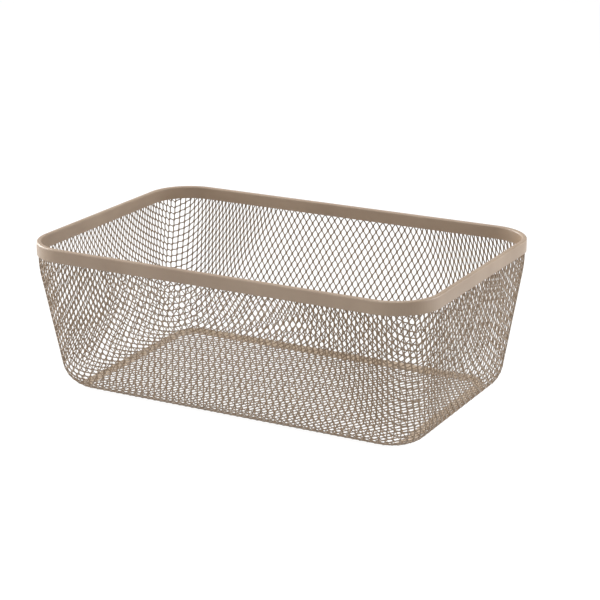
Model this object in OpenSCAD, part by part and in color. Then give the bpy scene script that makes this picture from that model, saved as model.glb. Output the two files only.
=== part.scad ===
// Open-topped storage basket.
// One sheet of diamond mesh is pressed into a tapered tub with round corners.
// A folded steel strip is crimped over its top edge all the way round,
// and a flat steel strip closes the first part of the bend round its floor.
// Millimetres, +Z up, X along the length, Y along the width.
// The origin is the middle of the underside of the floor.
// The sheet is drawn zone by zone: floor, bottom bends, walls and corners.
// Its diamonds run long way along Y on the floor, so they stand upright
// in the front and back walls and lie flat in the two end walls.

/* [Rim band] */
// Outside length of the basket, measured over the rim
rim_length = 400; // [360:5:440]
// Outside width of the basket, measured over the rim
rim_width = 267; // [250:1:290]
// Outside radius of the rim's corners, seen from above
rim_corner_radius = 43; // [38:1:50]
// Height of the rim band
rim_height = 12; // [9:0.5:16]
// Thickness of the rim band, over both of its legs
rim_thickness = 4.8; // [4.6:0.1:6]
// Thickness of the strip that the rim is folded from
strip_thickness = 1.2; // [0.8:0.1:1.2]
// Radius of the rim's two folded top edges
fold_radius = 1.4; // [1:0.1:2]

/* [Mesh tub] */
// Height of the basket, from the floor's underside to the top of the rim
basket_height = 143; // [120:1:170]
// Length at the floor, where the lines of the end walls would meet it
base_length = 368; // [350:1:380]
// Width at the floor, where the lines of the long walls would meet it
base_width = 221; // [210:1:235]
// Corner radius of those lines at the floor
base_corner_radius = 37; // [32:1:42]
// Radius of the bend between the floor and the walls
bend_radius = 26; // [20:1:28]
// How far the walls hang straight down below the rim before they taper
straight_drop = 12; // [6:1:20]
// Thickness of the pressed mesh, measured over its raised strands
mesh_thickness = 2; // [1.6:0.1:2.2]

/* [Base band] */
// Thickness of the flat strip round the floor
band_thickness = 1.2; // [1:0.1:1.6]

/* [Diamond pattern] */
// Pitch of the diamonds along their long diagonal
cell_long = 27; // [26:0.5:30]
// Pitch of the diamonds along their short diagonal
cell_short = 16; // [15.5:0.5:18]
// Share of each diamond's diagonals that its gap takes
gap_share = 0.76; // [0.6:0.02:0.8]
// Width of the strand that closes each zone of the sheet at its edge
edge_strand = 1.6; // [1.2:0.1:2.5]

/* [Hidden] */

paint = [0.59, 0.52, 0.46];
mesh_paint = [0.56, 0.49, 0.43];

// Heights at which the wall changes
rim_bottom = basket_height - rim_height;
mesh_top = basket_height - strip_thickness;
taper_top = rim_bottom - straight_drop;

// Outer surface of the mesh: half lengths and half widths, at the rim and at the floor line
half_len_top = rim_length / 2 - strip_thickness;
half_wid_top = rim_width / 2 - strip_thickness;
half_len_base = base_length / 2;
half_wid_base = base_width / 2;

// Taper from upright of the end walls and of the long walls
end_taper = atan((half_len_top - half_len_base) / taper_top);
side_taper = atan((half_wid_top - half_wid_base) / taper_top);

// Middle of the bottom bend's arc, as a distance from the middle of the basket
function bend_centre(base, taper) = base + bend_radius * (tan(taper) - 1 / cos(taper));
end_bend_x = bend_centre(half_len_base, end_taper);
side_bend_y = bend_centre(half_wid_base, side_taper);

// Half diagonals of the diamonds, fitted so that a whole number of them spans the floor
floor_columns = round(end_bend_x / (cell_short / 2));
floor_rows = round(side_bend_y / (cell_long / 2));
half_short = end_bend_x / floor_columns;
half_long = side_bend_y / floor_rows;

// Where the straight walls end and the corners begin, at the rim, at the floor and at a height
corner_x_top = rim_length / 2 - rim_corner_radius;
corner_y_top = rim_width / 2 - rim_corner_radius;
corner_x_base = half_len_base - base_corner_radius;
corner_y_base = half_wid_base - base_corner_radius;
function along(base, top, z) = base + (top - base) * min(z / taper_top, 1);
function corner_x(z) = along(corner_x_base, corner_x_top, z);
function corner_y(z) = along(corner_y_base, corner_y_top, z);

// Profile of the mesh
// Each row below is [distance from the middle, height], from the floor up.
// off is 0 for the outer surface and the mesh thickness for the inner one.

bend_steps = 7;
// The base band takes the first steps of the bend, and the mesh shows above it
band_steps = 2;
wall_steps = 8;
drop_steps = 2;

function bend_row(centre, taper, off, k) =
    let (a = (90 - taper) * k / bend_steps, r = bend_radius - off)
    [centre + r * sin(a), bend_radius - r * cos(a)];

function kink(top, taper, off) = [top - off, taper_top + off * tan(taper / 2)];

function profile(centre, top, taper, off) =
    let (foot = bend_row(centre, taper, off, bend_steps), knee = kink(top, taper, off))
    concat(
        [for (k = [0:bend_steps - 1]) bend_row(centre, taper, off, k)],
        [for (k = [0:wall_steps]) foot + (knee - foot) * k / wall_steps],
        [for (k = [1:drop_steps]) [top - off, knee[1] + (mesh_top - knee[1]) * k / drop_steps]]);

// Corner nets
// The corner is a grid of points, wrapped from the end wall round to the long wall.
// Diamonds stand on every other grid point, each with its gap through the sheet.

corner_columns = 8;
corner_rows = bend_steps + wall_steps + drop_steps;

function corner_point(ends, sides, u, v) =
    let (fi = 90 * u / corner_columns,
         low = floor(v),
         high = min(low + 1, corner_rows),
         e = ends[low] + (ends[high] - ends[low]) * (v - low),
         s = sides[low] + (sides[high] - sides[low]) * (v - low),
         z = e[1] * pow(cos(fi), 2) + s[1] * pow(sin(fi), 2),
         cx = corner_x(z),
         cy = corner_y(z))
    [cx + (e[0] - cx) * cos(fi), cy + (s[0] - cy) * sin(fi), z];

// One diamond round the grid point [i, j]: four tips, then four points of its gap
function diamond(i, j) =
    let (g = gap_share)
    [[i + 1, j], [i, j + 1], [i - 1, j], [i, j - 1],
     [i + g, j], [i, j + g], [i - g, j], [i, j - g]];

function inside(p) =
    p[0] >= 0 && p[0] <= corner_columns && p[1] >= band_steps && p[1] <= corner_rows;

// Corners of one face as triangles; flip turns it to face the other way
function two(a, b, c, d, flip) = flip ? [[a, c, b], [a, d, c]] : [[a, b, c], [a, c, d]];

module corner_net() {
    outer_ends = profile(end_bend_x, half_len_top, end_taper, 0);
    outer_sides = profile(side_bend_y, half_wid_top, side_taper, 0);
    inner_ends = profile(end_bend_x, half_len_top, end_taper, mesh_thickness);
    inner_sides = profile(side_bend_y, half_wid_top, side_taper, mesh_thickness);

    cols = corner_columns;
    rows = corner_rows;
    first = band_steps;
    // Rows above this one are inside the rim and have no gaps
    last_gap_row = rows - 2;
    gaps = [for (i = [1:cols - 1]) for (j = [first + 1:last_gap_row])
            if ((i + j) % 2 == 1) [i, j]];
    grid = [for (j = [first:rows]) for (i = [0:cols]) [i, j]];
    holes = [for (c = gaps) for (k = [4:7]) diamond(c[0], c[1])[k]];
    flat = concat(grid, holes);
    sheet = len(flat);

    function at(i, j) = (j - first) * (cols + 1) + i;
    function tip(c, k) = let (p = diamond(c[0], c[1])[k]) at(p[0], p[1]);
    function hole(n, k) = len(grid) + 4 * n + k;

    points = concat(
        [for (p = flat) corner_point(outer_ends, outer_sides, p[0], p[1])],
        [for (p = flat) corner_point(inner_ends, inner_sides, p[0], p[1])]);

    // Strands round each gap, on both surfaces, and the walls of the gap
    strands = [for (n = [0:len(gaps) - 1]) for (k = [0:3])
        let (m = (k + 1) % 4,
             a = tip(gaps[n], k), b = tip(gaps[n], m),
             c = hole(n, m), d = hole(n, k))
        for (f = concat(two(a, b, c, d, true),
                        two(a + sheet, b + sheet, c + sheet, d + sheet, false),
                        two(d, c, c + sheet, d + sheet, true))) f];

    // Plain triangles along the four edges, and the diamonds inside the rim
    edges = [for (i = [0:cols]) for (j = [first:rows])
        if ((i + j) % 2 == 1 && (i == 0 || i == cols || j == first || j > last_gap_row))
        for (k = [0:3])
        let (p = diamond(i, j)[k], q = diamond(i, j)[(k + 1) % 4])
        if (inside(p) && inside(q))
        for (f = [[at(i, j), at(q[0], q[1]), at(p[0], p[1])],
                  [at(i, j) + sheet, at(p[0], p[1]) + sheet, at(q[0], q[1]) + sheet]]) f];

    // Edge faces of the sheet, all the way round
    edge_path = concat(
        [for (i = [0:cols]) at(i, first)], [for (j = [first + 1:rows]) at(cols, j)],
        [for (i = [1:cols]) at(cols - i, rows)],
        [for (j = [1:rows - first - 1]) at(0, rows - j)]);
    border = [for (n = [0:len(edge_path) - 1])
        let (a = edge_path[n], b = edge_path[(n + 1) % len(edge_path)])
        for (f = two(a, b, b + sheet, a + sheet, false)) f];

    polyhedron(points = points, faces = concat(strands, edges, border), convexity = 6);
}

// Flat nets

// A diamond gap through the sheet, as a prism along Z
module gap_prism(half_x, half_y, depth) {
    x = half_x * gap_share;
    y = half_y * gap_share;
    linear_extrude(height = depth, center = true)
        polygon([[x, 0], [0, y], [-x, 0], [0, -y]]);
}

// Outline of the floor, with its corners stepped like those of the corner nets.
// inset moves it inwards.
function floor_corner(sx, sy, k, inset) =
    let (fi = 90 * k / corner_columns)
    [sx * (corner_x_base + (end_bend_x - corner_x_base - inset) * cos(fi)),
     sy * (corner_y_base + (side_bend_y - corner_y_base - inset) * sin(fi))];
function floor_outline(inset) = concat(
    [for (k = [0:corner_columns]) floor_corner(1, 1, k, inset)],
    [for (k = [0:corner_columns]) floor_corner(-1, 1, corner_columns - k, inset)],
    [for (k = [0:corner_columns]) floor_corner(-1, -1, k, inset)],
    [for (k = [0:corner_columns]) floor_corner(1, -1, corner_columns - k, inset)]);

// True where a gap's middle lies on the floor, clear of its round corners
function on_floor(x, y) =
    let (dx = max(x - corner_x_base, 0) / (end_bend_x - corner_x_base - edge_strand),
         dy = max(y - corner_y_base, 0) / (side_bend_y - corner_y_base - edge_strand))
    dx * dx + dy * dy < 0.8;

module floor_panel() {
    color(mesh_paint)
    difference() {
        linear_extrude(height = mesh_thickness) polygon(floor_outline(0));
        intersection() {
            translate([0, 0, -mesh_thickness])
                linear_extrude(height = 3 * mesh_thickness) polygon(floor_outline(edge_strand));
            union() {
                for (i = [-floor_columns:floor_columns], j = [-floor_rows:floor_rows])
                    if ((i + j) % 2 != 0
                        && (abs(i) == floor_columns ? abs(j) * half_long < corner_y_base
                            : abs(j) == floor_rows ? abs(i) * half_short < corner_x_base
                            : on_floor(abs(i) * half_short, abs(j) * half_long)))
                        translate([i * half_short, j * half_long, 0])
                            gap_prism(half_short, half_long, 4 * mesh_thickness);
            }
        }
    }
}

// Face of a straight wall, looking along X: its two edges lean inwards below the taper's top
module wall_face(half_base, half_top, inset, low, depth) {
    lean = (half_top - half_base) / taper_top;
    foot = half_base + lean * low - inset;
    knee = half_top - inset;
    rotate([90, 0, 90])
        linear_extrude(height = depth)
            polygon([[-foot, low + inset], [foot, low + inset], [knee, taper_top],
                     [knee, basket_height], [-knee, basket_height], [-knee, taper_top]]);
}

// One straight wall, standing at +X and running along Y.
// centre, top and taper describe its profile; half_base and half_top its length.
// pitch_y and pitch_z are the diamonds' half diagonals along the wall and up it.
module wall(centre, top, taper, half_base, half_top, pitch_y, pitch_z) {
    outer = profile(centre, top, taper, 0);
    inner = profile(centre, top, taper, mesh_thickness);
    foot = bend_steps;
    knee = bend_steps + wall_steps;
    head = knee + drop_steps;
    low = outer[foot][1];
    // The top row of gaps is cut off by the rim
    rows = round((rim_bottom - low) / pitch_z);
    step = (rim_bottom - low) / rows;
    lean = (half_top - half_base) / taper_top;
    difference() {
        intersection() {
            rotate([90, 0, 0])
                linear_extrude(height = 2 * half_top, center = true)
                    polygon([outer[foot], outer[knee], outer[head],
                             inner[head], inner[knee], inner[foot]]);
            wall_face(half_base, half_top, 0, -1, 2 * top);
        }
        intersection() {
            wall_face(half_base, half_top, edge_strand, low, 2 * top);
            union() {
                for (j = [0:rows]) {
                    half = half_base + lean * min(low + j * step, taper_top) - edge_strand;
                    count = floor(half / pitch_y);
                    for (i = [-count:count])
                        if ((i + j) % 2 != 0)
                            translate([top, i * pitch_y, low + j * step])
                                rotate([0, 90, 0]) gap_prism(step, pitch_y, top);
                }
            }
        }
    }
}

module side_wall() {
    rotate([0, 0, 90])
        wall(side_bend_y, half_wid_top, side_taper, corner_x_base, corner_x_top,
             half_short, half_long);
}

module end_wall() {
    wall(end_bend_x, half_len_top, end_taper, corner_y_base, corner_y_top,
         half_long, half_short);
}

// One straight bottom bend above the base band, at +X and running along Y.
// rows is the number of rows of gaps round the bend, with half gaps at both of its edges.
module bend(centre, taper, half_base, half_top, pitch_y, rows) {
    turn = 90 - taper;
    start = turn * band_steps / bend_steps;
    step = (turn - start) / (rows + 1);
    pitch = bend_radius * step * PI / 180;
    lean = (half_top - half_base) / taper_top;
    reach = half_base + lean * bend_radius;
    edge = edge_strand * 180 / PI / bend_radius;
    count = floor((half_base - edge_strand) / pitch_y);
    difference() {
        intersection() {
            bend_ring(centre, reach, mesh_thickness, start, turn);
            bend_ends(centre, half_base, reach, 0);
        }
        intersection() {
            bend_ring(centre, reach, 2 * mesh_thickness, start + edge, turn - edge);
            bend_ends(centre, half_base, reach, edge_strand);
            union() {
                for (j = [0:rows + 1], i = [-count:count])
                    if ((i + j) % 2 != 0)
                        translate([centre, i * pitch_y, bend_radius])
                            rotate([0, 180 - start - step * j, 0])
                                translate([0, 0, bend_radius])
                                    gap_prism(pitch, pitch_y, bend_radius / 2);
            }
        }
    }
}

// Part of a ring round the bend's axis, between two angles from straight down.
// depth is its wall; a wall thicker than the sheet stands out on both sides.
module bend_ring(centre, reach, depth, from, to) {
    spare = depth - mesh_thickness;
    far = 2 * bend_radius;
    translate([centre, 0, bend_radius])
        rotate([90, 90, 0])
            linear_extrude(height = 2 * reach, center = true)
                intersection() {
                    difference() {
                        circle(r = bend_radius + spare, $fn = 96);
                        circle(r = bend_radius - mesh_thickness - spare, $fn = 96);
                    }
                    polygon([[0, 0], [far * cos(from), far * sin(from)],
                             [far, far * tan((from + to) / 2)] * 1.2,
                             [far * cos(to), far * sin(to)]]);
                }
}

// Space between the two slanting ends of a bend
module bend_ends(centre, half_base, reach, inset) {
    low = -bend_radius;
    foot = 2 * half_base - reach - inset;
    rotate([90, 0, 90])
        linear_extrude(height = 2 * centre)
            polygon([[-foot, low], [foot, low],
                     [reach - inset, bend_radius], [inset - reach, bend_radius]]);
}

module side_bend() {
    rotate([0, 0, 90])
        bend(side_bend_y, side_taper, corner_x_base, corner_x_top, half_short, 1);
}

module end_bend() {
    bend(end_bend_x, end_taper, corner_y_base, corner_y_top, half_long, 3);
}

// The sheet's zones, each in its place
module front_wall() { color(mesh_paint) rotate([0, 0, 180]) side_wall(); }
module back_wall() { color(mesh_paint) side_wall(); }
module left_wall() { color(mesh_paint) rotate([0, 0, 180]) end_wall(); }
module right_wall() { color(mesh_paint) end_wall(); }

module front_bend() { color(mesh_paint) rotate([0, 0, 180]) side_bend(); }
module back_bend() { color(mesh_paint) side_bend(); }
module left_bend() { color(mesh_paint) rotate([0, 0, 180]) end_bend(); }
module right_bend() { color(mesh_paint) end_bend(); }

module corner_back_right() { color(mesh_paint) corner_net(); }
module corner_back_left() { color(mesh_paint) mirror([1, 0, 0]) corner_net(); }
module corner_front_right() { color(mesh_paint) mirror([0, 1, 0]) corner_net(); }
module corner_front_left() {
    color(mesh_paint) mirror([1, 0, 0]) mirror([0, 1, 0]) corner_net();
}

// Points round the basket at one row of the profile, from the right end towards the back
function ring(ends, sides, v) =
    [for (quarter = [0:3]) for (k = [0:corner_columns])
        let (u = quarter % 2 == 0 ? k : corner_columns - k,
             p = corner_point(ends, sides, u, v),
             sx = quarter == 0 || quarter == 3 ? 1 : -1,
             sy = quarter < 2 ? 1 : -1)
        [sx * p[0], sy * p[1], p[2]]];

// Base band: a flat strip that follows the first steps of the bottom bend, all the way round
module base_band() {
    outer_ends = profile(end_bend_x, half_len_top, end_taper, 0);
    outer_sides = profile(side_bend_y, half_wid_top, side_taper, 0);
    inner_ends = profile(end_bend_x, half_len_top, end_taper, band_thickness);
    inner_sides = profile(side_bend_y, half_wid_top, side_taper, band_thickness);
    rings = concat(
        [for (v = [0:band_steps]) ring(outer_ends, outer_sides, v)],
        [for (v = [0:band_steps]) ring(inner_ends, inner_sides, band_steps - v)]);
    around = len(rings[0]);
    faces = [for (r = [0:len(rings) - 1]) for (n = [0:around - 1])
        let (above = (r + 1) % len(rings), next = (n + 1) % around)
        for (f = two(r * around + n, r * around + next,
                     above * around + next, above * around + n, true)) f];
    color(paint)
        polyhedron(points = [for (r = rings) for (p = r) p], faces = faces, convexity = 4);
}

// Rim band: a strip folded over the mesh, open below, with its two top edges rounded.
// The section's first coordinate is the distance in from the rim's outer face.
module rim_section() {
    leg = strip_thickness;
    difference() {
        union() {
            square([rim_thickness, rim_height - fold_radius]);
            translate([fold_radius, 0])
                square([rim_thickness - 2 * fold_radius, rim_height]);
            for (x = [fold_radius, rim_thickness - fold_radius])
                translate([x, rim_height - fold_radius])
                    circle(r = fold_radius, $fn = 48);
        }
        translate([leg, -1])
            square([rim_thickness - 2 * leg, rim_height - leg + 1]);
    }
}

// A straight run of the strip along Y, with its outer face at +X
module rim_run(outer_face, half_run) {
    translate([outer_face, 0, rim_bottom])
        rotate([90, 0, 0])
            mirror([1, 0, 0])
                linear_extrude(height = 2 * half_run, center = true) rim_section();
}

module rim_corner() {
    translate([corner_x_top, corner_y_top, rim_bottom])
        rotate_extrude(angle = 90, $fn = 96)
            translate([rim_corner_radius, 0]) mirror([1, 0]) rim_section();
}

module rim_band() {
    color(paint)
    union() {
        for (turn = [0, 180])
            rotate([0, 0, turn]) rim_run(rim_length / 2, corner_y_top);
        for (turn = [90, 270])
            rotate([0, 0, turn]) rim_run(rim_width / 2, corner_x_top);
        for (sx = [0, 1], sy = [0, 1])
            mirror([sx, 0, 0]) mirror([0, sy, 0]) rim_corner();
    }
}

rim_band();
base_band();
floor_panel();
front_wall();
back_wall();
left_wall();
right_wall();
front_bend();
back_bend();
left_bend();
right_bend();
corner_front_left();
corner_front_right();
corner_back_left();
corner_back_right();
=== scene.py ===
"""Mesh storage basket: one drawn sheet of stretched steel mesh, a folded rim, a base strip."""
import math

import bpy
import numpy as np
from mathutils import Matrix, Vector


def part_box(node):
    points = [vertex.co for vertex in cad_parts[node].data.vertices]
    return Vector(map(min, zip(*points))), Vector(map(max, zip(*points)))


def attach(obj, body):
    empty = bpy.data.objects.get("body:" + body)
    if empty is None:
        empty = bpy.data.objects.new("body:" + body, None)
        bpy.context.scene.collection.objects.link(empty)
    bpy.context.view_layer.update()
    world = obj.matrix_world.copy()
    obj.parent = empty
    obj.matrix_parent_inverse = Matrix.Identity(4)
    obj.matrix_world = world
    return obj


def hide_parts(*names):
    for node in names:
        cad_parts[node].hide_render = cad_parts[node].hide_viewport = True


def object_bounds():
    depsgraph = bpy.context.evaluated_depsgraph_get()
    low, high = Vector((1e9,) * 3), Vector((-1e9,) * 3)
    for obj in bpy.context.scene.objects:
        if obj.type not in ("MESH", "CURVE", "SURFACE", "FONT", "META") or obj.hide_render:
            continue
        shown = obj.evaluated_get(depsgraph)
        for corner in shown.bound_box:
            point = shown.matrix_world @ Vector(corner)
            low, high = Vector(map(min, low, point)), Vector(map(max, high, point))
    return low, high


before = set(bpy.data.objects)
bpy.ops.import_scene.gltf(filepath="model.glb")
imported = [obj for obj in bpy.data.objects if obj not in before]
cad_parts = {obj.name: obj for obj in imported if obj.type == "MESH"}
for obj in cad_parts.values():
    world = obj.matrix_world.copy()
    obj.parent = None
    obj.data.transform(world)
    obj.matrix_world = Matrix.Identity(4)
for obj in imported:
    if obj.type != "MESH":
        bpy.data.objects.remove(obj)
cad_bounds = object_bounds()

MM = 0.001

# Overall size, from the frame
LOW, HIGH = cad_bounds
LENGTH = HIGH.x - LOW.x
WIDTH = HIGH.y - LOW.y
HEIGHT = HIGH.z

# Rim band: steel strip folded over the mesh's edge
RIM_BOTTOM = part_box("rim_band")[0].z
RIM_CORNER = 43 * MM
RIM_THICK = 4.8 * MM
STRIP = 1.2 * MM
FOLD = 1.4 * MM
FOLD_STEPS = 5
RIM_CORNER_STEPS = 24

# Tub: outer lines of the walls at the floor and under the rim, and the bends between them
BASE_LENGTH = 368 * MM
BASE_WIDTH = 221 * MM
BASE_CORNER = 37 * MM
END_BEND = 25 * MM
SIDE_BEND = 29 * MM
BEND_STEPS = 16
TAPER_TOP = RIM_BOTTOM - 12 * MM
KNEE_REACH = 11 * MM
KNEE_STEPS = 8
SPARE_WALL = 60 * MM
END_BASE = BASE_LENGTH / 2
END_TOP = LENGTH / 2 - STRIP
SIDE_BASE = BASE_WIDTH / 2
SIDE_TOP = WIDTH / 2 - STRIP

# Centres of the round corners, at the floor and at the rim
CORNER_X = (END_BASE - BASE_CORNER, LENGTH / 2 - RIM_CORNER)
CORNER_Y = (SIDE_BASE - BASE_CORNER, WIDTH / 2 - RIM_CORNER)

# Diamonds: pitches across and along the strands, length of a joint, section of a strand, and
# how little of its width a mitre may add
CELL_SHORT = 6.7 * MM
CELL_LONG = 10.95 * MM
JOINT = 2.2 * MM
STRAND_WIDE = 0.95 * MM
STRAND_THICK = 0.65 * MM
LEAST_HALF_TURN = 0.8

# Slant of the strands: on the floor and the long walls, in the end walls, and how far it
# takes to change from one to the other
STRAND_TILT = math.radians(-35)
END_TILT = math.radians(-5)
TILT_FADE = 60 * MM

# Thickness of the sheet over its slanting strands, and the height at which it ends
MESH = STRAND_THICK * math.cos(STRAND_TILT) - STRAND_WIDE * math.sin(STRAND_TILT)
MESH_TOP = RIM_BOTTOM + 6 * MM

# Base strip in the underside of the mesh: where it starts, from the start of the bend at the
# ends and at the sides, its width and thickness, and how deep it lies
END_BAND_START = -3 * MM
SIDE_BAND_START = 3.5 * MM
BAND_WIDE = 10 * MM
BAND_THICK = 0.4 * MM
BAND_DEEP = 0.05 * MM
BAND_STEPS = 4
BAND_CORNER_STEPS = 24

# A strand from joint to joint on the blank, and what is left of it between two joints
STRAND = math.hypot(CELL_SHORT, CELL_LONG) / 2
STRAND_X = CELL_SHORT / 2 / STRAND
STRAND_Y = CELL_LONG / 2 / STRAND
FREE_STRAND = math.hypot(CELL_SHORT / 2, CELL_LONG / 2 - JOINT)

# How strands lean where the press pulls the sheet up the corners, from the level
FLAT_LEAN = math.pi - math.atan2(STRAND_X, STRAND_Y)
LONG_LEAN = math.radians(88)
END_LEAN = math.radians(98)
MIDDLE_LEAN = math.radians(110)
LEAN_WITHIN = 8 * MM
LEAN_STEPS = 24

# Settling of the net: coarse to fine, as a multiple of the diamonds and a number of rounds;
# how far past the corner centres joints move; how strongly stiff and loose links and turns
# pull; the least spacing of joints across and along; the most that a joint moves in a round;
# and how many rounds share one set of slopes
SETTLE_LEVELS = ((2, 250), (1, 120))
SETTLE_REACH = 180 * MM
RIGID = 0.5
HINGE = 0.02
TURN = 0.25
LEAST_SHORT = 4.2 * MM
LEAST_LONG = 6.8 * MM
MOST_MOVE = 2 * MM
SLOPE_ROUNDS = 8

# Step for slopes, a place just inside a grid's last cell, and what keeps quotients finite
SLOPE_STEP = 0.05 * MM
JUST_INSIDE = 1.001
TINY_LENGTH = 1e-12
TINY_GAP = 1e-9
TINY_SLOPE = 1e-6


def profile(base, top, corner, bend):
    """Middle of the sheet from a corner centre outwards: arc length, distance and height."""
    taper = math.atan((top - base) / TAPER_TOP)
    centre = base + bend * (math.tan(taper) - 1 / math.cos(taper))
    turn = np.linspace(0, math.pi / 2 - taper, BEND_STEPS)
    radius = bend - MESH / 2
    foot = np.c_[centre + radius * np.sin(turn), bend - radius * np.cos(turn)]
    knee = np.array([top - MESH / 2, TAPER_TOP + MESH / 2 * math.tan(taper / 2)])
    below = knee - KNEE_REACH * np.array([math.sin(taper), math.cos(taper)])
    above = knee + [0, KNEE_REACH]
    t = np.linspace(0, 1, KNEE_STEPS + 1)[:, None]
    curve = (1 - t) ** 2 * below + 2 * t * (1 - t) * knee + t ** 2 * above
    points = np.vstack([[corner, MESH / 2], foot, curve, [knee[0], HEIGHT + SPARE_WALL]])
    steps = np.hypot(*np.diff(points, axis=0).T)
    return np.r_[0, np.cumsum(steps)], points[:, 0], points[:, 1]


ENDS = profile(END_BASE, END_TOP, CORNER_X[0], END_BEND)
SIDES = profile(SIDE_BASE, SIDE_TOP, CORNER_Y[0], SIDE_BEND)


def corner_centre(pair, z):
    """Distance of a corner's centre from the middle at a height."""
    return pair[0] + (pair[1] - pair[0]) * np.clip(z / TAPER_TOP, 0, 1)


def on_tub(q):
    """Places points of the unrolled tub, an array ending in x, y, on the tub."""
    x, y = np.abs(q[..., 0]), np.abs(q[..., 1])
    past_x = np.maximum(x - CORNER_X[0], 0)
    past_y = np.maximum(y - CORNER_Y[0], 0)
    run = np.hypot(past_x, past_y)
    turn = np.arctan2(past_y, past_x)
    cos, sin = np.cos(turn), np.sin(turn)
    end_x, end_z = np.interp(run, ENDS[0], ENDS[1]), np.interp(run, ENDS[0], ENDS[2])
    side_y, side_z = np.interp(run, SIDES[0], SIDES[1]), np.interp(run, SIDES[0], SIDES[2])
    z = np.where(run > 0, end_z * cos ** 2 + side_z * sin ** 2, MESH / 2)
    centre_x, centre_y = corner_centre(CORNER_X, z), corner_centre(CORNER_Y, z)
    tub_x = np.where(past_x > 0, centre_x + (end_x - centre_x) * cos,
                     x * centre_x / CORNER_X[0])
    tub_y = np.where(past_y > 0, centre_y + (side_y - centre_y) * sin,
                     y * centre_y / CORNER_Y[0])
    return np.stack([np.sign(q[..., 0]) * tub_x, np.sign(q[..., 1]) * tub_y, z], -1)


def slopes(q):
    """How a point on the tub moves with each coordinate of its unrolled place."""
    dx, dy = np.array([SLOPE_STEP, 0]), np.array([0, SLOPE_STEP])
    return ((on_tub(q + dx) - on_tub(q - dx)) / (2 * SLOPE_STEP),
            (on_tub(q + dy) - on_tub(q - dy)) / (2 * SLOPE_STEP))


def unit(v):
    """Vectors scaled to length one."""
    return v / np.maximum(np.linalg.norm(v, axis=-1, keepdims=True), TINY_LENGTH)


def grid(scale):
    """Index grids and flat places of the sheet's joints; only every other one is real."""
    reach_x = CORNER_X[0] + ENDS[0][-1]
    reach_y = CORNER_Y[0] + SIDES[0][-1]
    columns = int(reach_x / (CELL_SHORT * scale / 2)) + 2
    rows = int(reach_y / (CELL_LONG * scale / 2)) + 2
    i, j = np.meshgrid(np.arange(-columns, columns + 1), np.arange(-rows, rows + 1),
                       indexing="ij")
    flat = np.stack([i * CELL_SHORT * scale / 2, j * CELL_LONG * scale / 2], -1)
    return i, j, flat


def shifted(array, di, dj):
    """The array's value at the neighbour di, dj steps away, and zero outside."""
    out = np.zeros_like(array)
    n, m = array.shape[:2]
    to_i, from_i = slice(max(-di, 0), n - max(di, 0)), slice(max(di, 0), n - max(-di, 0))
    to_j, from_j = slice(max(-dj, 0), m - max(dj, 0)), slice(max(dj, 0), m - max(-dj, 0))
    out[to_i, to_j] = array[from_i, from_j]
    return out


def along_strands(x, y):
    """Lengths of the two families of strands that lead from the middle to a flat point."""
    a, b = x / STRAND_X, y / STRAND_Y
    return (a + b) / 2, (a - b) / 2


# Where a corner starts on the long wall and ends on the end wall, and the line that the
# strands climbing it cross as they leave the floor
CORNER_START = along_strands(CORNER_X[0], SIDE_BASE)
CORNER_END = along_strands(END_BASE, CORNER_Y[0])
LIFT = (CORNER_START[0] + CORNER_END[0]) / 2
CORNER_ARC = BASE_CORNER * math.pi / 2


def end_lean(past, across):
    """Lean of a strand on an end wall, some way past the lift line."""
    to_middle = np.clip((across - CORNER_END[1]) / (LIFT - CORNER_END[1]), 0, 1)
    lean = END_LEAN + (MIDDLE_LEAN - END_LEAN) * to_middle
    return FLAT_LEAN + (lean - FLAT_LEAN) * np.clip(past / LEAN_WITHIN, 0, 1)


def summed(length, lean):
    """Level and rising parts of a strand whose lean is a function of the length so far."""
    level, rise = np.zeros_like(length), np.zeros_like(length)
    for step in range(LEAN_STEPS):
        angle = lean(length * (step + 0.5) / LEAN_STEPS)
        level += np.cos(angle) * length / LEAN_STEPS
        rise += np.sin(angle) * length / LEAN_STEPS
    return level, rise


def pressed(flat):
    """Where the press carries points of the flat sheet, in the unrolled tub.

    Past the lift line the strands that climb a corner stand nearly upright. They start on
    that line, which runs up the long wall, round the corner and up the end wall.
    """
    sign = np.where(flat < 0, -1.0, 1.0)
    away = np.abs(flat)
    u, v = along_strands(away[..., 0], away[..., 1])
    past, base = np.maximum(u - LIFT, 0), np.minimum(u, LIFT)
    foot_x = (base + v) * STRAND_X - CORNER_X[0]
    foot_y = (base - v) * STRAND_Y - CORNER_Y[0]
    round_corner = (foot_x > 0) & (foot_y > 0)
    run = np.where(round_corner, np.hypot(foot_x, foot_y), np.maximum(foot_x, foot_y))
    turn = 1 - np.arctan2(foot_y, foot_x) / (math.pi / 2)
    way = np.where(foot_x <= 0, foot_x,
                   np.where(foot_y <= 0, CORNER_ARC - foot_y, CORNER_ARC * turn))

    progress = np.clip((v - CORNER_START[1]) / (CORNER_END[1] - CORNER_START[1]), 0, 1)
    level, rise = summed(past, lambda e: LONG_LEAN + (end_lean(e, v) - LONG_LEAN) * progress)
    # The pull of the corner at the other side of the end wall
    other = np.maximum(v - LIFT, 0)
    pull, lift = summed(other, lambda e: math.pi - end_lean(e, u))
    pull += math.cos(FLAT_LEAN) * other
    lift -= math.sin(FLAT_LEAN) * other

    way, run = way + level + pull, run + rise + lift
    angle = math.pi / 2 * (1 - way / CORNER_ARC)
    on_long = np.stack([way, run], -1)
    on_end = np.stack([run, CORNER_ARC - way], -1)
    on_corner = np.stack([run * np.cos(angle), run * np.sin(angle)], -1)
    lifted = np.where((way <= 0)[..., None], on_long,
                      np.where((way >= CORNER_ARC)[..., None], on_end, on_corner))
    lifted = lifted + [CORNER_X[0], CORNER_Y[0]]
    on_end_wall = away[..., 0] > CORNER_X[0]
    plain = away + np.stack([lift, -pull], -1) * on_end_wall[..., None]
    return sign * np.where((past > 0)[..., None], lifted, plain)


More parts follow.
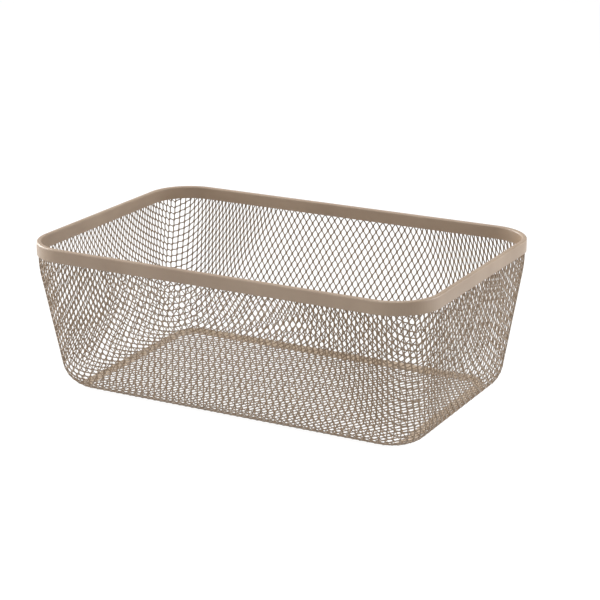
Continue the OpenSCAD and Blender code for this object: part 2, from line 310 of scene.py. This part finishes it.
def settle(q, live, scale, rounds):
    """Slides the joints' ends over the tub until joints and strands have their own lengths.

    Each link is: end of this joint, end of the other, steps to it, length, stiffness, and
    whether the length is only a least one. A joint also turns to point from the joint below
    it to the joint above it.
    """
    strand, short = STRAND * scale, CELL_SHORT * scale
    links = [(0, 1, 0, 0, JOINT * scale, RIGID, False)]
    for di in (-1, 1):
        links.append((1, 0, di, 1, FREE_STRAND * scale, RIGID, False))
        links.extend((end, end, di, 1, strand, HINGE, False) for end in (0, 1))
    for end in (0, 1):
        links.append((end, end, 2, 0, short, HINGE, False))
        links.append((end, end, 2, 0, LEAST_SHORT * scale, RIGID / 2, True))
        links.append((end, end, 0, 2, LEAST_LONG * scale, RIGID / 2, True))
    weight = live.astype(float)
    for k in range(rounds):
        p = on_tub(q)
        move = np.zeros_like(p)
        for here, there, di, dj, length, stiff, least in links:
            gap = shifted(p[:, :, there], di, dj) - p[:, :, here]
            distance = np.linalg.norm(gap, axis=-1) + TINY_GAP
            pull = (distance - length) / distance * stiff / 2
            if least:
                pull = np.minimum(pull, 0)
            step = (pull * shifted(weight, di, dj) * weight)[..., None] * gap
            move[:, :, here] += step
            move[:, :, there] -= shifted(step, -di, -dj)
        middle = p.mean(2)
        joint = unit(shifted(middle, 0, 2) - shifted(middle, 0, -2)) * JOINT * scale
        inner = weight * shifted(weight, 0, 2) * shifted(weight, 0, -2)
        turn = TURN * inner[..., None] * (joint - p[:, :, 1] + p[:, :, 0]) / 2
        move += np.stack([-turn, turn], 2)
        if k % SLOPE_ROUNDS == 0:
            jx, jy = slopes(q)
            a, b, c = (jx * jx).sum(-1), (jx * jy).sum(-1), (jy * jy).sum(-1)
            det = a * c - b * b + TINY_SLOPE
        d, e = (jx * move).sum(-1), (jy * move).sum(-1)
        dq = np.stack([(c * d - b * e) / det, (a * e - b * d) / det], -1)
        q = q + np.clip(dq, -MOST_MOVE, MOST_MOVE) * weight[..., None, None]
    return q


def reach(q):
    """How far a point of the unrolled tub lies past the corner centres."""
    past = np.maximum(np.abs(q) - [CORNER_X[0], CORNER_Y[0]], 0)
    return np.hypot(past[..., 0], past[..., 1])


def fill(move, real):
    """Gives the places between real joints the mean movement of their neighbours."""
    sides = ((1, 0), (-1, 0), (0, 1), (0, -1))
    near = sum(shifted(move * real[..., None], di, dj) for di, dj in sides)
    count = sum(shifted(real.astype(float), di, dj) for di, dj in sides)
    return np.where(real[..., None], move, near / np.maximum(count, 1)[..., None])


def interpolate(coarse, flat):
    """Bilinear movement of the coarser grid at the finer grid's places."""
    xs, ys, move = coarse
    u = np.clip(np.interp(flat[..., 0], xs, np.arange(len(xs))), 0, len(xs) - JUST_INSIDE)
    v = np.clip(np.interp(flat[..., 1], ys, np.arange(len(ys))), 0, len(ys) - JUST_INSIDE)
    a, b = u.astype(int), v.astype(int)
    s, t = (u - a)[..., None], (v - b)[..., None]
    return ((1 - s) * (1 - t) * move[a, b] + s * (1 - t) * move[a + 1, b]
            + (1 - s) * t * move[a, b + 1] + s * t * move[a + 1, b + 1])


def drape():
    """Grid indices of the sheet's joints, and both ends of each in the unrolled tub."""
    coarse = None
    for scale, rounds in SETTLE_LEVELS:
        i, j, flat = grid(scale)
        real = (i + j) % 2 == 0
        start = pressed(flat)
        moved = 0 if coarse is None else interpolate(coarse, flat)
        half = np.array([0, JOINT * scale / 2])
        q = np.stack([pressed(flat - half) + moved, pressed(flat + half) + moved], 2)
        live = real & (reach(start) < SETTLE_REACH)
        q = settle(q, live, scale, rounds)
        moved = np.where(live[..., None], q.mean(2) - start, 0)
        coarse = (flat[:, 0, 0], flat[0, :, 1], fill(moved, real))
    return i, j, q


def strand_rings(centres, wides):
    """Rings of four corners along one strand, mitred where it bends."""
    steps = unit(np.diff(centres, axis=0))
    before, after = np.vstack([steps[:1], steps]), np.vstack([steps, steps[-1:]])
    along = unit(before + after)
    half_turn = np.sqrt((1 + (before * after).sum(-1)) / 2)
    wide = unit(wides - (wides * along).sum(-1, keepdims=True) * along)
    thick = np.cross(wide, along) * STRAND_THICK / 2
    wide = wide * STRAND_WIDE / 2 / np.clip(half_turn, LEAST_HALF_TURN, 1)[:, None]
    return np.stack([centres - wide - thick, centres + wide - thick,
                     centres + wide + thick, centres - wide + thick], 1)


def add_strand(verts, faces, centres, wides):
    """Adds one strand as a closed square tube."""
    first = len(verts)
    rings = strand_rings(np.array(centres), np.array(wides))
    verts.extend(rings.reshape(-1, 3))
    faces.append((first, first + 1, first + 2, first + 3))
    for here in range(first, len(verts) - 4, 4):
        faces.extend((here + n, here + 4 + n, here + 4 + (n + 1) % 4, here + (n + 1) % 4)
                     for n in range(4))
    last = len(verts) - 4
    faces.append((last + 3, last + 2, last + 1, last))


def strands(i, j, q):
    """Vertices and faces of every strand, split at the middle of the length.

    A strand runs up the sheet between two rows of joints and touches them by turns.
    """
    p = on_tub(q)
    middle = p.mean(2)
    a, b = shifted(middle, 1, 1), shifted(middle, 1, -1)
    c, d = shifted(middle, -1, 1), shifted(middle, -1, -1)
    normal = unit(np.cross(a + b - c - d, a + c - b - d))
    along = unit(p[:, :, 1] - p[:, :, 0])
    across = np.cross(along, normal)
    past = np.abs(q[..., 0]).mean(2) - CORNER_X[0]
    fade = np.clip(past / TILT_FADE, 0, 1)[..., None]
    tilt = STRAND_TILT + (END_TILT - STRAND_TILT) * fade
    wide = np.cos(tilt) * across + np.sin(tilt) * normal
    columns, rows = i.max(), j.max()
    halves = {"mesh_tub_left": ([], []), "mesh_tub_right": ([], [])}
    for k in range(-columns + 2, columns - 2):
        verts, faces = halves["mesh_tub_left" if k < 0 else "mesh_tub_right"]
        centres, wides = [], []
        for r in range(-rows + 2, rows - 1):
            side = 1 if (k + r) % 2 == 0 else -1
            at = (k + columns if side > 0 else k + 1 + columns, r + rows)
            if middle[at][2] < MESH_TOP:
                centres.extend(p[at] + side * STRAND_WIDE / 2 * wide[at])
                wides.extend([wide[at]] * 2)
            elif centres:
                add_strand(verts, faces, centres, wides)
                centres, wides = [], []
        if centres:
            add_strand(verts, faces, centres, wides)
    return halves


def add_piece(name, verts, faces, material, slot):
    """A piece of the object from its vertices and faces."""
    mesh = bpy.data.meshes.new(name)
    mesh.from_pydata([tuple(v) for v in verts], [], faces)
    mesh.validate()
    mesh.update()
    piece = bpy.data.objects.new(name, mesh)
    bpy.context.scene.collection.objects.link(piece)
    mesh.materials.append(material)
    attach(piece, "root")
    return piece


def swept(rings):
    """Vertices and faces of a closed section swept round a closed path."""
    count, size = len(rings), len(rings[0])
    verts = [v for ring in rings for v in ring]
    faces = []
    for n in range(count):
        here, there = n * size, (n + 1) % count * size
        faces.extend((here + m, there + m, there + (m + 1) % size, here + (m + 1) % size)
                     for m in range(size))
    return verts, faces


def corner_path(steps):
    """Signs and outward directions along the four round corners, counterclockwise."""
    path = []
    for quarter in range(4):
        sx = 1 if quarter in (0, 3) else -1
        sy = 1 if quarter < 2 else -1
        for n in range(steps + 1):
            a = math.pi / 2 * (quarter + n / steps)
            path.append((sx, sy, math.cos(a), math.sin(a)))
    return path


def rim_section():
    """Section of the folded strip: distance in from its outer face, and height."""
    t = RIM_THICK
    turns = [math.pi / 2 * n / FOLD_STEPS for n in range(FOLD_STEPS + 1)]
    outer = [(0, RIM_BOTTOM)]
    outer += [(FOLD - FOLD * math.cos(a), HEIGHT - FOLD + FOLD * math.sin(a)) for a in turns]
    outer += [(t - FOLD + FOLD * math.sin(a), HEIGHT - FOLD + FOLD * math.cos(a))
              for a in turns]
    inner = [(t, RIM_BOTTOM), (t - STRIP, RIM_BOTTOM), (t - STRIP, HEIGHT - STRIP),
             (STRIP, HEIGHT - STRIP), (STRIP, RIM_BOTTOM)]
    return outer + inner


def build_rim(material):
    """The folded strip, swept round the basket."""
    section = rim_section()
    rings = [[(sx * CORNER_X[1] + (RIM_CORNER - s) * ux, sy * CORNER_Y[1]
               + (RIM_CORNER - s) * uy, z) for s, z in section]
             for sx, sy, ux, uy in corner_path(RIM_CORNER_STEPS)]
    rim = add_piece("rim", *swept(rings), material, "rim_paint")
    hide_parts("rim_band")


def build_base_strip(material):
    """Flat strip round the floor, lying in the first part of the bend under the mesh."""
    end_start, side_start = ENDS[0][1] + END_BAND_START, SIDES[0][1] + SIDE_BAND_START
    rings = []
    for sx, sy, ux, uy in corner_path(BAND_CORNER_STEPS):
        start = end_start * ux ** 2 + side_start * uy ** 2
        runs = start + BAND_WIDE * np.linspace(0, 1, BAND_STEPS + 1)
        q = np.array([sx * CORNER_X[0], sy * CORNER_Y[0]]) + runs[:, None] * [ux, uy]
        p = on_tub(q)
        inward = unit(np.cross(*slopes(q)))
        under = p + inward * (BAND_DEEP - MESH / 2)
        rings.append(np.vstack([under, (under + inward * BAND_THICK)[::-1]]))
    strip = add_piece("base_strip", *swept(rings), material, "rim_paint")
    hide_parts("base_band")


def build_mesh(material):
    """The net, in place of every node but the rim and the base strip."""
    tub = {name: add_piece(name, *parts, material, "mesh_paint")
           for name, parts in strands(*drape()).items()}
    nets = set(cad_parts) - {"rim_band", "base_band"}
    left_nets = {net for net in nets if "left" in net}
    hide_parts(*sorted(left_nets))
    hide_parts(*sorted(nets - left_nets))


# Coats in screen values, light and dark: rim, base strip and mesh
RIM_COLOURS = ((151, 128, 104), (135, 112, 89))
# The base strip is the rim's own paint made lighter: painted light, standing in for the top
# lamp on its upward face
STRIP_LIT_COLOURS = ((202, 182, 159), (172, 152, 129))
# The mesh has the same paint as the rim, made darker: painted shade on the thin strands' unlit
# sides
MESH_SHADED_COLOURS = ((129, 105, 77), (119, 96, 69))

# Coat: strength and roughness of its gloss, and how uneven that is; size and limits of its
# patches; which edges are rubbed, and how smooth; orange peel
GLOSS = 1.0
ROUGHNESS = 0.5
UNEVEN_GLOSS = 0.06
PATCH_SCALE = 18
STRIP_PATCH_SCALE = 260
PATCH_DETAIL = 4
PATCH_FROM = 0.3
PATCH_TO = 0.7
EDGE_FROM = 0.52
EDGE_TO = 0.62
EDGE_ROUGHNESS = 0.32
PEEL_SCALE = 1400
PEEL_STRENGTH = 0.12
PEEL_DEPTH = 0.1 * MM


def linear(r, g, b):
    """A colour in 0 to 255 screen values as linear light."""
    return tuple(((c / 255 + 0.055) / 1.055) ** 2.4 for c in (r, g, b))


def add_node(tree, kind, **values):
    """A new node, with constant values set on its inputs."""
    node = tree.nodes.new(kind)
    for name, value in values.items():
        node.inputs[name.replace("_", " ")].default_value = value
    return node


def coat(name, colours, patch_scale):
    """Powder coat: orange peel, a slightly uneven colour and gloss, and edges rubbed smooth."""
    material = bpy.data.materials.new(name)
    material.use_nodes = True
    tree = material.node_tree
    links = tree.links
    shader = tree.nodes["Principled BSDF"]
    shader.inputs["Specular IOR Level"].default_value = GLOSS
    place = tree.nodes.new("ShaderNodeTexCoord")

    patches = add_node(tree, "ShaderNodeTexNoise", Scale=patch_scale, Detail=PATCH_DETAIL)
    links.new(place.outputs["Object"], patches.inputs["Vector"])
    ramp = tree.nodes.new("ShaderNodeValToRGB")
    light, dark = (linear(*colour) for colour in colours)
    ramp.color_ramp.elements[0].position = PATCH_FROM
    ramp.color_ramp.elements[0].color = (*dark, 1)
    ramp.color_ramp.elements[1].position = PATCH_TO
    ramp.color_ramp.elements[1].color = (*light, 1)
    links.new(patches.outputs["Fac"], ramp.inputs["Fac"])
    links.new(ramp.outputs["Color"], shader.inputs["Base Color"])

    gloss = add_node(tree, "ShaderNodeMapRange", From_Min=PATCH_FROM, From_Max=PATCH_TO,
                     To_Min=ROUGHNESS + UNEVEN_GLOSS, To_Max=ROUGHNESS - UNEVEN_GLOSS)
    links.new(patches.outputs["Fac"], gloss.inputs["Value"])
    shape = tree.nodes.new("ShaderNodeNewGeometry")
    edge = add_node(tree, "ShaderNodeMapRange", From_Min=EDGE_FROM, From_Max=EDGE_TO)
    links.new(shape.outputs["Pointiness"], edge.inputs["Value"])
    rubbed = add_node(tree, "ShaderNodeMix", B=EDGE_ROUGHNESS)
    links.new(edge.outputs["Result"], rubbed.inputs["Factor"])
    links.new(gloss.outputs["Result"], rubbed.inputs["A"])
    links.new(rubbed.outputs["Result"], shader.inputs["Roughness"])

    peel = add_node(tree, "ShaderNodeTexNoise", Scale=PEEL_SCALE)
    links.new(place.outputs["Object"], peel.inputs["Vector"])
    bump = add_node(tree, "ShaderNodeBump", Strength=PEEL_STRENGTH, Distance=PEEL_DEPTH)
    links.new(peel.outputs["Fac"], bump.inputs["Height"])
    links.new(bump.outputs["Normal"], shader.inputs["Normal"])
    return material


# Studio: white, strength of the surroundings' light, and the floor's size, its colour to
# other rays, and its shade and glow to the camera and in gloss
WHITE = (1, 1, 1, 1)
WORLD_FILL = 0.1
FLOOR_SIZE = 30
FLOOR_MATT = 0.9
FLOOR_SHADE = 0.12
FLOOR_GLOW = 0.96

# Lamps: name, place, size and power
LAMPS = (("left", (-1.9, 0.2, 0.7), 1.4, 56),
         ("right", (1.2, 0.63, 0.44), 0.9, 13.2),
         ("top", (0, 0, 2.2), 1.6, 28),
         ("front", (-0.6, -1.9, 1.2), 1.4, 15))


def shade_by_ray(tree, kinds, other, seen, target):
    """Links one shader for rays of the kinds, and another for the rest, to a target."""
    path = tree.nodes.new("ShaderNodeLightPath")
    factor = path.outputs[kinds[0]]
    for kind in kinds[1:]:
        either = tree.nodes.new("ShaderNodeMath")
        either.operation = "MAXIMUM"
        tree.links.new(factor, either.inputs[0])
        tree.links.new(path.outputs[kind], either.inputs[1])
        factor = either.outputs["Value"]
    choice = tree.nodes.new("ShaderNodeMixShader")
    tree.links.new(factor, choice.inputs["Fac"])
    tree.links.new(other, choice.inputs[1])
    tree.links.new(seen, choice.inputs[2])
    tree.links.new(choice.outputs["Shader"], target)


def build_floor():
    """Pale floor: white to the camera and in gloss, with the object's shadow kept."""
    bpy.ops.mesh.primitive_plane_add(size=FLOOR_SIZE)
    floor = bpy.context.object
    floor.name = "floor"
    material = bpy.data.materials.new("floor_white")
    material.use_nodes = True
    tree = material.node_tree
    tree.nodes.remove(tree.nodes["Principled BSDF"])
    matt = add_node(tree, "ShaderNodeBsdfDiffuse", Color=(*[FLOOR_MATT] * 3, 1))
    shade = add_node(tree, "ShaderNodeBsdfDiffuse", Color=(*[FLOOR_SHADE] * 3, 1))
    glow = add_node(tree, "ShaderNodeEmission", Color=WHITE, Strength=FLOOR_GLOW)
    both = tree.nodes.new("ShaderNodeAddShader")
    tree.links.new(shade.outputs["BSDF"], both.inputs[0])
    tree.links.new(glow.outputs["Emission"], both.inputs[1])
    shade_by_ray(tree, ("Is Camera Ray", "Is Glossy Ray"), matt.outputs["BSDF"],
                 both.outputs["Shader"], tree.nodes["Material Output"].inputs["Surface"])
    floor.data.materials.append(material)


def build_world():
    """Even pale surroundings that look white to the camera and in gloss."""
    world = bpy.data.worlds.new("surroundings")
    bpy.context.scene.world = world
    world.use_nodes = True
    tree = world.node_tree
    fill_light = tree.nodes["Background"]
    fill_light.inputs["Color"].default_value = WHITE
    fill_light.inputs["Strength"].default_value = WORLD_FILL
    white = add_node(tree, "ShaderNodeBackground", Color=WHITE, Strength=1.0)
    shade_by_ray(tree, ("Is Camera Ray", "Is Glossy Ray", "Is Transmission Ray"),
                 fill_light.outputs["Background"], white.outputs["Background"],
                 tree.nodes["World Output"].inputs["Surface"])


def add_lamp(name, place, size, power):
    """A soft square lamp that points at the basket."""
    data = bpy.data.lights.new(name, "AREA")
    data.size = size
    data.energy = power
    lamp = bpy.data.objects.new(name, data)
    lamp.location = place
    aim = Vector((0, 0, HEIGHT / 2)) - Vector(place)
    lamp.rotation_mode = "QUATERNION"
    lamp.rotation_quaternion = aim.to_track_quat("-Z", "Y")
    bpy.context.scene.collection.objects.link(lamp)


# Camera: where it stands round the basket, how far the view is off the middle, and its lens
CAMERA_AZIMUTH = math.radians(28.28)
CAMERA_RISE = math.radians(17.43)
CAMERA_DISTANCE = 1.767
CAMERA_RIGHT = 16.1 * MM
CAMERA_UP = 79.28 * MM
CAMERA_LENS = 113.07
CAMERA_SENSOR = 36


def build_camera():
    """Camera at the photograph's angle and distance."""
    az, rise = CAMERA_AZIMUTH, CAMERA_RISE
    back = Vector((math.sin(az) * math.cos(rise), -math.cos(az) * math.cos(rise),
                   math.sin(rise)))
    right = Vector((math.cos(az), math.sin(az), 0))
    up = back.cross(right)
    data = bpy.data.cameras.new("camera")
    data.sensor_width = CAMERA_SENSOR
    data.lens = CAMERA_LENS
    camera = bpy.data.objects.new("camera", data)
    place = back * CAMERA_DISTANCE + right * CAMERA_RIGHT + up * CAMERA_UP
    turn = Matrix((right, up, back)).transposed().to_4x4()
    camera.matrix_world = Matrix.Translation(place) @ turn
    bpy.context.scene.collection.objects.link(camera)
    bpy.context.scene.camera = camera


build_camera()
build_world()
for lamp in LAMPS:
    add_lamp(*lamp)
build_floor()

build_rim(coat("rim_coat", RIM_COLOURS, PATCH_SCALE))
# The strip's coat is the rim paint made lighter, as painted light
build_base_strip(coat("strip_coat_painted_light", STRIP_LIT_COLOURS, STRIP_PATCH_SCALE))
# The mesh's coat is the rim paint made darker, as painted shade
build_mesh(coat("mesh_coat_painted_shade", MESH_SHADED_COLOURS, PATCH_SCALE))

bpy.context.scene.view_settings.view_transform = "Standard"
